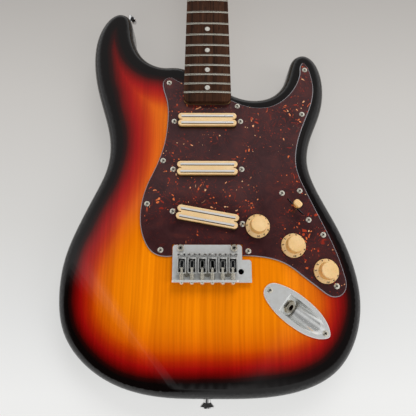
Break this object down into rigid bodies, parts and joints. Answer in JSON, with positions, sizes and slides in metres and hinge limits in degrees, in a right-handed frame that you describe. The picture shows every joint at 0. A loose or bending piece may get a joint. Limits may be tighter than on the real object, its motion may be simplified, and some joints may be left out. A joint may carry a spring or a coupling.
{
  "type": "electric guitar",
  "caption": "Solid double-cutaway electric guitar with bolt-on neck, floating tremolo bridge, blade pickups, rotary controls and a recessed jack plate.",
  "frame": {"origin": "on the outer face of the back cover, under the point where the neck's centre line crosses the scale line at the bridge", "axes": "+Z out of the guitar's face, +Y along the neck to the headstock, +X to the treble side; the guitar lies on its back"},
  "size_m": [0.3193, 0.9891, 0.0628],
  "materials": {
    "sunburst_wood": "gloss",
    "maple": "satin",
    "rosewood": "satin",
    "pearl": "gloss",
    "bone": "satin",
    "nickel": "polished",
    "chrome": "polished",
    "satin_chrome": "satin",
    "steel": "satin",
    "zinc": "satin",
    "tortoise": "gloss",
    "aged_cream": "gloss",
    "black_plastic": "satin"
  },
  "bodies": {
    "guitar": {"body": "sunburst_wood", "neck": "maple", "fretboard": "rosewood", "frets": "nickel", "fret_markers": "pearl", "nut": "bone", "truss_rod": "steel", "string_trees": "chrome", "tuner_housings": "chrome", "tuner_bushings": "chrome", "neck_plate": "chrome", "neck_screws": "chrome", "back_cover": "black_plastic", "back_cover_screws": "nickel", "spring_claw": "steel", "tremolo_springs": "steel", "pickguard": "tortoise", "pickguard_screws": "nickel", "pickup_screws": "nickel", "control_pots": "steel", "selector_switch": "steel", "selector_screws": "nickel", "jack_plate": "satin_chrome", "jack_socket": "nickel", "jack_plate_screws": "nickel", "strap_buttons": "chrome", "bridge_studs": "chrome"},
    "tremolo": {"bridge_plate": "satin_chrome", "tremolo_block": "zinc", "block_screws": "steel", "intonation_screws": "steel"},
    "selector": {"selector_lever": "steel", "selector_tip": "aged_cream"},
    "saddle_1": {"saddle_1": "satin_chrome"},
    "saddle_2": {"saddle_2": "satin_chrome"},
    "saddle_3": {"saddle_3": "satin_chrome"},
    "saddle_4": {"saddle_4": "satin_chrome"},
    "saddle_5": {"saddle_5": "satin_chrome"},
    "saddle_6": {"saddle_6": "satin_chrome"},
    "neck_pickup": {"neck_pickup_cover": "aged_cream", "neck_pickup_rails": "steel"},
    "middle_pickup": {"middle_pickup_cover": "aged_cream", "middle_pickup_rails": "steel"},
    "bridge_pickup": {"bridge_pickup_cover": "aged_cream", "bridge_pickup_rails": "steel"},
    "volume_control": {"volume_knob": "aged_cream"},
    "tone_1_control": {"tone_1_knob": "aged_cream"},
    "tone_2_control": {"tone_2_knob": "aged_cream"},
    "post_1": {"tuner_post_1": "chrome"},
    "button_1": {"tuner_button_1": "chrome"},
    "post_2": {"tuner_post_2": "chrome"},
    "button_2": {"tuner_button_2": "chrome"},
    "post_3": {"tuner_post_3": "chrome"},
    "button_3": {"tuner_button_3": "chrome"},
    "post_4": {"tuner_post_4": "chrome"},
    "button_4": {"tuner_button_4": "chrome"},
    "post_5": {"tuner_post_5": "chrome"},
    "button_5": {"tuner_button_5": "chrome"},
    "post_6": {"tuner_post_6": "chrome"},
    "button_6": {"tuner_button_6": "chrome"}
  },
  "joints": [
    {"name": "tremolo_pivot", "type": "hinge", "parent": "guitar", "child": "tremolo", "pos_m": [0, 0.0069, 0.0507], "axis": [-1, 0, 0], "range_deg": [-3, 10], "stiffness_Nm_per_rad": 8, "deforming": ["tremolo_springs"]},
    {"name": "saddle_1_slide", "type": "slide", "parent": "tremolo", "child": "saddle_1", "axis": [0, 1, 0], "range_m": [-0.003, 0.0012]},
    {"name": "saddle_2_slide", "type": "slide", "parent": "tremolo", "child": "saddle_2", "axis": [0, 1, 0], "range_m": [-0.003, 0.0012]},
    {"name": "saddle_3_slide", "type": "slide", "parent": "tremolo", "child": "saddle_3", "axis": [0, 1, 0], "range_m": [-0.003, 0.0012]},
    {"name": "saddle_4_slide", "type": "slide", "parent": "tremolo", "child": "saddle_4", "axis": [0, 1, 0], "range_m": [-0.003, 0.0012]},
    {"name": "saddle_5_slide", "type": "slide", "parent": "tremolo", "child": "saddle_5", "axis": [0, 1, 0], "range_m": [-0.003, 0.0012]},
    {"name": "saddle_6_slide", "type": "slide", "parent": "tremolo", "child": "saddle_6", "axis": [0, 1, 0], "range_m": [-0.003, 0.0012]},
    {"name": "volume_turn", "type": "hinge", "parent": "guitar", "child": "volume_control", "pos_m": [0.0541, 0.0336, 0.0484], "axis": [0, 0, 1], "range_deg": [0, 280]},
    {"name": "tone_1_turn", "type": "hinge", "parent": "guitar", "child": "tone_1_control", "pos_m": [0.0913, 0.0126, 0.0484], "axis": [0, 0, 1], "range_deg": [0, 280]},
    {"name": "tone_2_turn", "type": "hinge", "parent": "guitar", "child": "tone_2_control", "pos_m": [0.1239, -0.0143, 0.0484], "axis": [0, 0, 1], "range_deg": [0, 280]},
    {"name": "selector_swing", "type": "hinge", "parent": "guitar", "child": "selector", "pos_m": [0.0962, 0.056, 0.0331], "axis": [-0.7431, -0.6691, 0], "range_deg": [-25, 25]},
    {"name": "neck_pickup_height", "type": "slide", "parent": "guitar", "child": "neck_pickup", "axis": [0, 0, 1], "range_m": [-0.003, 0.003]},
    {"name": "middle_pickup_height", "type": "slide", "parent": "guitar", "child": "middle_pickup", "axis": [0, 0, 1], "range_m": [-0.003, 0.003]},
    {"name": "bridge_pickup_height", "type": "slide", "parent": "guitar", "child": "bridge_pickup", "axis": [0, 0, 1], "range_m": [-0.003, 0.003]},
    {"name": "button_1_turn", "type": "hinge", "parent": "guitar", "child": "button_1", "pos_m": [-0.03785, 0.68778, 0.0242], "axis": [-0.9641, 0.2657, 0], "continuous": true},
    {"name": "post_1_turn", "type": "hinge", "parent": "guitar", "child": "post_1", "pos_m": [-0.0205, 0.683, 0.0446], "axis": [0, 0, 1], "continuous": true},
    {"name": "button_2_turn", "type": "hinge", "parent": "guitar", "child": "button_2", "pos_m": [-0.03085, 0.71318, 0.0242], "axis": [-0.9641, 0.2657, 0], "continuous": true},
    {"name": "post_2_turn", "type": "hinge", "parent": "guitar", "child": "post_2", "pos_m": [-0.0135, 0.7084, 0.0446], "axis": [0, 0, 1], "continuous": true},
    {"name": "button_3_turn", "type": "hinge", "parent": "guitar", "child": "button_3", "pos_m": [-0.02385, 0.73858, 0.0242], "axis": [-0.9641, 0.2657, 0], "continuous": true},
    {"name": "post_3_turn", "type": "hinge", "parent": "guitar", "child": "post_3", "pos_m": [-0.0065, 0.7338, 0.0446], "axis": [0, 0, 1], "continuous": true},
    {"name": "button_4_turn", "type": "hinge", "parent": "guitar", "child": "button_4", "pos_m": [-0.01685, 0.76398, 0.0242], "axis": [-0.9641, 0.2657, 0], "continuous": true},
    {"name": "post_4_turn", "type": "hinge", "parent": "guitar", "child": "post_4", "pos_m": [0.0005, 0.7592, 0.0446], "axis": [0, 0, 1], "continuous": true},
    {"name": "button_5_turn", "type": "hinge", "parent": "guitar", "child": "button_5", "pos_m": [-0.00985, 0.78938, 0.0242], "axis": [-0.9641, 0.2657, 0], "continuous": true},
    {"name": "post_5_turn", "type": "hinge", "parent": "guitar", "child": "post_5", "pos_m": [0.0075, 0.7846, 0.0446], "axis": [0, 0, 1], "continuous": true},
    {"name": "button_6_turn", "type": "hinge", "parent": "guitar", "child": "button_6", "pos_m": [-0.00285, 0.81478, 0.0242], "axis": [-0.9641, 0.2657, 0], "continuous": true},
    {"name": "post_6_turn", "type": "hinge", "parent": "guitar", "child": "post_6", "pos_m": [0.0145, 0.81, 0.0446], "axis": [0, 0, 1], "continuous": true}
  ],
  "couplings": [
    {"joint": "post_1_turn", "follows": "button_1_turn", "ratio": 0.066667},
    {"joint": "post_2_turn", "follows": "button_2_turn", "ratio": 0.066667},
    {"joint": "post_3_turn", "follows": "button_3_turn", "ratio": 0.066667},
    {"joint": "post_4_turn", "follows": "button_4_turn", "ratio": 0.066667},
    {"joint": "post_5_turn", "follows": "button_5_turn", "ratio": 0.066667},
    {"joint": "post_6_turn", "follows": "button_6_turn", "ratio": 0.066667}
  ]
}
